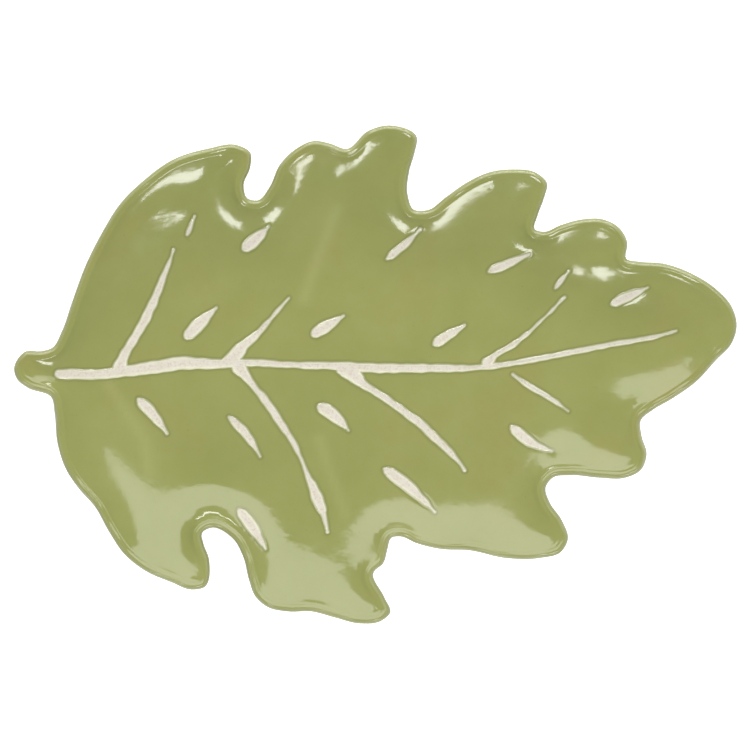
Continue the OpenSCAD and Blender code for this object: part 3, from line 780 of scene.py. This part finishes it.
rings = rim_rings(RIM_SPACING, RING_INSETS)
glaze_mesh = bmesh.new()
thin_and_highlight_layer = glaze_mesh.verts.layers.float.new("glaze_thin_and_highlight")
pool_and_shade_layer = glaze_mesh.verts.layers.float.new("glaze_pool_and_shade")
reflection_streak_layer = glaze_mesh.verts.layers.float.new("glaze_reflection_streak")
rim, inside = flat_leaf(glaze_mesh, rings, GRID_STEP)
rim_insets = {tuple(v.co.xy): inset for ring, inset in zip(rim, RING_INSETS) for v in ring}
outer_spots = [tuple(v.co.xy) for v in rim[0]]
by_line = [f for f in inside if line_distance(*f.calc_center_median().xy) < FINE_REACH]
bmesh.ops.subdivide_edges(
    glaze_mesh, edges=list({e for f in by_line for e in f.edges}), cuts=FINE_CUTS, use_grid_fill=True
)
at_spot = {tuple(v.co.xy): v for v in glaze_mesh.verts}
for spot, v in at_spot.items():
    x, y = spot
    if spot in rim_insets:
        inset = rim_insets[spot] * MM
        crest = LEAF_FLOOR + lip_height(x, y)
        if inset < TOP_CORNER:
            v.co.z = crest - TOP_CORNER + math.sqrt(TOP_CORNER**2 - (TOP_CORNER - inset) ** 2)
        elif inset <= LIP_BAND:
            v.co.z = crest
        else:
            share = (inset - LIP_BAND) / (RING_INSETS[-1] * MM - LIP_BAND)
            v.co.z = glazed_height(x, y, inset + share * (edge_distance(x, y) - inset))
        uneven = RIDGE_MEAN_SHARE + noise.noise(Vector((x, y, 1)) / RIDGE_WAVE_SIZE)
        v.co.z += LIP_RIDGE * uneven * hump(inset - RIDGE_INSET, RIDGE_HALF)
        # Pale line near the rim: thin glaze and a painted highlight
        v[thin_and_highlight_layer] = RIM_THIN_AND_HIGHLIGHT_SHARE * hump(inset - RIM_THIN_AND_HIGHLIGHT_INSET, THIN_AND_HIGHLIGHT_HALF)
        # Dark line at the very edge: gathered glaze and painted shade
        v[pool_and_shade_layer] = hump(inset, RIM_POOL_AND_SHADE_HALF)
        continue
    v.co.z = glazed_height(x, y, edge_distance(x, y))
    # Paler streaks: painted reflections of the glaze's soft folds
    v[reflection_streak_layer] = max(hump(way_off(x, y, way), REFLECTION_STREAK_HALF) for way in reflection_streaks)
    gap = line_distance(x, y) + noise.noise(Vector((x, y, 3)) / WAX_WOBBLE_SIZE) * WAX_WOBBLE
    if gap < LINE_REACH - WAX_WOBBLE:
        v.co.z += BEAD_HEIGHT * hump(gap - BEAD_OFF, BEAD_HALF)
        v.co.z -= GROOVE_DEPTH * ease(0.5 - gap / GROOVE_WIDTH)
        v[thin_and_highlight_layer] = hump(gap, THIN_AND_HIGHLIGHT_HALF)
        # Dark ring round each line: gathered glaze and painted shade
        v[pool_and_shade_layer] = hump(gap - LINE_POOL_AND_SHADE_OFF, LINE_POOL_AND_SHADE_HALF)
under_rings = rim_rings(RIM_SPACING, UNDER_INSETS)
ring = [at_spot[spot] for spot in outer_spots]
for places, inset_mm in zip(under_rings, UNDER_INSETS):
    ring = extruded(glaze_mesh, ring, ring_edges(glaze_mesh, ring))
    inset = inset_mm * MM
    for v, place in zip(ring, places):
        x, y = place
        if inset < LOW_CORNER:
            drop = LIP_THICKNESS - LOW_CORNER + math.sqrt(LOW_CORNER**2 - (LOW_CORNER - inset) ** 2)
            z = LEAF_FLOOR + lip_height(x, y) - drop
        else:
            z = pressed_height(x, y, edge_distance(x, y)) - LIP_THICKNESS
        v.co = (x, y, z)
        v[thin_and_highlight_layer] = ease((inset_mm - UNDER_THIN_FROM_MM) / (UNDER_INSETS[-1] - UNDER_THIN_FROM_MM))
        # Darker under the lip: gathered glaze and painted shade
        v[pool_and_shade_layer] = hump(inset, UNDER_POOL_AND_SHADE_HALF)
ring = extruded(glaze_mesh, ring, ring_edges(glaze_mesh, ring))
for v in ring:
    v.co.z += GLAZE_THICKNESS
bmesh.ops.recalc_face_normals(glaze_mesh, faces=glaze_mesh.faces)
if max(glaze_mesh.faces, key=lambda f: f.calc_area()).normal.z < 0:
    bmesh.ops.reverse_faces(glaze_mesh, faces=glaze_mesh.faces)

# Glossy olive glaze, fired: a smooth glass skin, mottled at the size of a thumb and warmer where iron shows
# through, with fine darker specks. It is paler where thin and where a highlight is painted along the rim,
# darker where it gathers and where shade is painted with it, and paler in a few streaks of painted
# reflection.
MOTTLE_SIZE = 22.22 * MM
IRON_SIZE = 35.71 * MM
SPECK_SIZE = 1.111 * MM
RIPPLE_SIZE = 6.25 * MM
# How far a painted reflection streak pales the glaze, and how far gathered glaze with painted shade darkens
# it
REFLECTION_STREAK_STRENGTH = 0.26
POOL_AND_SHADE_STRENGTH = 0.7
tree, olive_glaze = new_material("glossy_olive_glaze")
place = add_node(tree, "ShaderNodeTexCoord").outputs["Object"]
mottle = add_node(
    tree, "ShaderNodeTexNoise", {"Scale": 1 / MOTTLE_SIZE, "Detail": 4, "Roughness": 0.6}, {"Vector": place}
)
body_colour = add_node(
    tree,
    "ShaderNodeMix",
    {"A": srgb("#8e944f"), "B": srgb("#9ea260")},
    {"Factor": mottle.outputs["Fac"]},
    data_type="RGBA",
)
iron = add_node(
    tree, "ShaderNodeTexNoise", {"Scale": 1 / IRON_SIZE, "Detail": 5, "Roughness": 0.7}, {"Vector": place}
)
iron_share = add_node(
    tree,
    "ShaderNodeMapRange",
    {"From Min": 0.52, "From Max": 0.75, "To Max": 0.35},
    {"Value": iron.outputs["Fac"]},
)
iron_colour = add_node(
    tree,
    "ShaderNodeMix",
    {"B": srgb("#a0924e")},
    {"Factor": iron_share.outputs["Result"], "A": body_colour.outputs["Result"]},
    data_type="RGBA",
)
# Painted reflection: paler streaks across the glaze
reflection_streak = add_node(tree, "ShaderNodeAttribute", attribute_name="glaze_reflection_streak").outputs["Fac"]
reflection_streak_share = add_node(tree, "ShaderNodeMath", {1: REFLECTION_STREAK_STRENGTH}, {0: reflection_streak}, operation="MULTIPLY")
reflection_streak_colour = add_node(
    tree,
    "ShaderNodeMix",
    {"B": srgb("#b2b478")},
    {"Factor": reflection_streak_share.outputs[0], "A": iron_colour.outputs["Result"]},
    data_type="RGBA",
)
# Paler where the glaze is thin, and a painted highlight along the rim
thin_and_highlight = add_node(tree, "ShaderNodeAttribute", attribute_name="glaze_thin_and_highlight").outputs["Fac"]
thin_and_highlight_colour = add_node(
    tree,
    "ShaderNodeMix",
    {"B": srgb("#dfdfc6")},
    {"Factor": thin_and_highlight, "A": reflection_streak_colour.outputs["Result"]},
    data_type="RGBA",
)
# Darker where the glaze gathers, with painted shade along the edge, under the lip and round the lines
pool_and_shade = add_node(tree, "ShaderNodeAttribute", attribute_name="glaze_pool_and_shade").outputs["Fac"]
pool_and_shade_share = add_node(tree, "ShaderNodeMath", {1: POOL_AND_SHADE_STRENGTH}, {0: pool_and_shade}, operation="MULTIPLY")
pool_and_shade_colour = add_node(
    tree,
    "ShaderNodeMix",
    {"B": srgb("#7c8042")},
    {"Factor": pool_and_shade_share.outputs[0], "A": thin_and_highlight_colour.outputs["Result"]},
    data_type="RGBA",
)
speck = add_node(tree, "ShaderNodeTexNoise", {"Scale": 1 / SPECK_SIZE, "Detail": 2}, {"Vector": place})
speck_share = add_node(
    tree,
    "ShaderNodeMapRange",
    {"From Min": 0.66, "From Max": 0.8, "To Max": 0.3},
    {"Value": speck.outputs["Fac"]},
)
glaze_colour = add_node(
    tree,
    "ShaderNodeMix",
    {"B": srgb("#7f8344")},
    {"Factor": speck_share.outputs["Result"], "A": pool_and_shade_colour.outputs["Result"]},
    data_type="RGBA",
)
ripple = add_node(tree, "ShaderNodeTexNoise", {"Scale": 1 / RIPPLE_SIZE, "Detail": 2}, {"Vector": place})
ripple_bump = add_node(
    tree, "ShaderNodeBump", {"Strength": 0.5, "Distance": 0.2 * MM}, {"Height": ripple.outputs["Fac"]}
)
gloss = add_node(
    tree,
    "ShaderNodeMapRange",
    {"From Min": 0.3, "From Max": 0.7, "To Min": 0.08, "To Max": 0.16},
    {"Value": mottle.outputs["Fac"]},
)
skin = add_node(
    tree,
    "ShaderNodeBsdfPrincipled",
    {"IOR": 1.65},
    {
        "Base Color": glaze_colour.outputs["Result"],
        "Roughness": gloss.outputs["Result"],
        "Normal": ripple_bump.outputs["Normal"],
    },
)
add_node(tree, "ShaderNodeOutputMaterial", links={"Surface": skin.outputs[0]})
glaze_piece = finished_piece(glaze_mesh, "glaze_skin", olive_glaze, "glaze_coat")

# Table. A plain matte white surface under the plate that keeps its soft shadow. To the camera and in
# reflections it also glows, so that it is white there without more light on the plate.
TABLE_HALF = 3.0
TABLE_GLOW = 0.9
table_mesh = bmesh.new()
bmesh.ops.create_grid(table_mesh, x_segments=1, y_segments=1, size=TABLE_HALF)
table_data = bpy.data.meshes.new("table_top")
table_mesh.to_mesh(table_data)
table_mesh.free()
table_top = bpy.data.objects.new("table_top", table_data)
bpy.context.scene.collection.objects.link(table_top)
tree, white_table = new_material("white_table")
matte_white = add_node(tree, "ShaderNodeBsdfDiffuse", {"Color": srgb("#e8e8e8")})
glow = add_node(tree, "ShaderNodeEmission", {"Strength": TABLE_GLOW})
both = add_node(tree, "ShaderNodeAddShader", links={0: matte_white.outputs[0], 1: glow.outputs[0]})
ray = add_node(tree, "ShaderNodeLightPath")
seen = add_node(
    tree,
    "ShaderNodeMath",
    links={0: ray.outputs["Is Camera Ray"], 1: ray.outputs["Is Glossy Ray"]},
    operation="MAXIMUM",
)
table_skin = add_node(
    tree,
    "ShaderNodeMixShader",
    links={0: seen.outputs[0], 1: matte_white.outputs[0], 2: both.outputs[0]},
)
add_node(tree, "ShaderNodeOutputMaterial", links={"Surface": table_skin.outputs[0]})
table_data.materials.append(white_table)

# Studio light. A large softbox above the leaf's upper side puts the soft haze on the lower lobes, and a low
# strip behind it the thin bright line on the upper lip. Two small lamps above the lower side put the bright
# patches on the upper lobes, and a wide fill that the gloss doesn't show evens out the colour.
ROOM_LIGHT = 0.32
LAMP_REACH = 1.1
room = bpy.data.worlds.new("white_room")
room.use_nodes = True
room.node_tree.nodes["Background"].inputs["Color"].default_value = srgb("#ffffff")
room.node_tree.nodes["Background"].inputs["Strength"].default_value = ROOM_LIGHT
bpy.context.scene.world = room


def add_lamp(name, tilt, turn, width, height, power):
    """An area lamp that faces the plate, tilt degrees from overhead and turned from the upper side."""
    lamp = bpy.data.lights.new(name, "AREA")
    lamp.shape = "RECTANGLE"
    lamp.size = width
    lamp.size_y = height
    lamp.energy = power
    stand = bpy.data.objects.new(name, lamp)
    lean, round_about = math.radians(tilt), math.radians(turn)
    across = math.sin(lean)
    away = Vector((across * math.sin(round_about), across * math.cos(round_about), math.cos(lean)))
    stand.location = away * LAMP_REACH
    stand.rotation_euler = away.to_track_quat("Z", "Y").to_euler()
    bpy.context.scene.collection.objects.link(stand)
    return stand


add_lamp("softbox", 38.5, 2, 1.26, 0.7, 7.4)
add_lamp("back_strip", 74, 0, 1.2, 0.12, 4.9)
low_fill = add_lamp("low_fill", 66, 180, 1.5, 0.6, 3)
low_fill.visible_glossy = False
add_lamp("right_lamp", 50, 157, 0.38, 0.24, 2.6)
add_lamp("left_lamp", 44, 206, 0.24, 0.22, 1.5)

# Camera, looking straight down at the plate from far enough to see it almost without perspective. The frame
# is a little wider than the leaf.
FRAME_PER_LEAF = 750 / 721.8
SENSOR_WIDTH = 36
CAMERA_HEIGHT = 2.4
CAMERA_X = -0.12 * MM
CAMERA_Y = -0.23 * MM
camera_data = bpy.data.cameras.new("overhead_camera")
camera_data.sensor_width = SENSOR_WIDTH
camera_data.lens = SENSOR_WIDTH * CAMERA_HEIGHT / (LEAF_LENGTH * FRAME_PER_LEAF)
camera = bpy.data.objects.new("overhead_camera", camera_data)
camera.location = (CAMERA_X, CAMERA_Y, CAMERA_HEIGHT + LEAF_FLOOR + RIM_RISE / 2)
bpy.context.scene.collection.objects.link(camera)
bpy.context.scene.camera = camera
bpy.context.scene.view_settings.view_transform = "Standard"
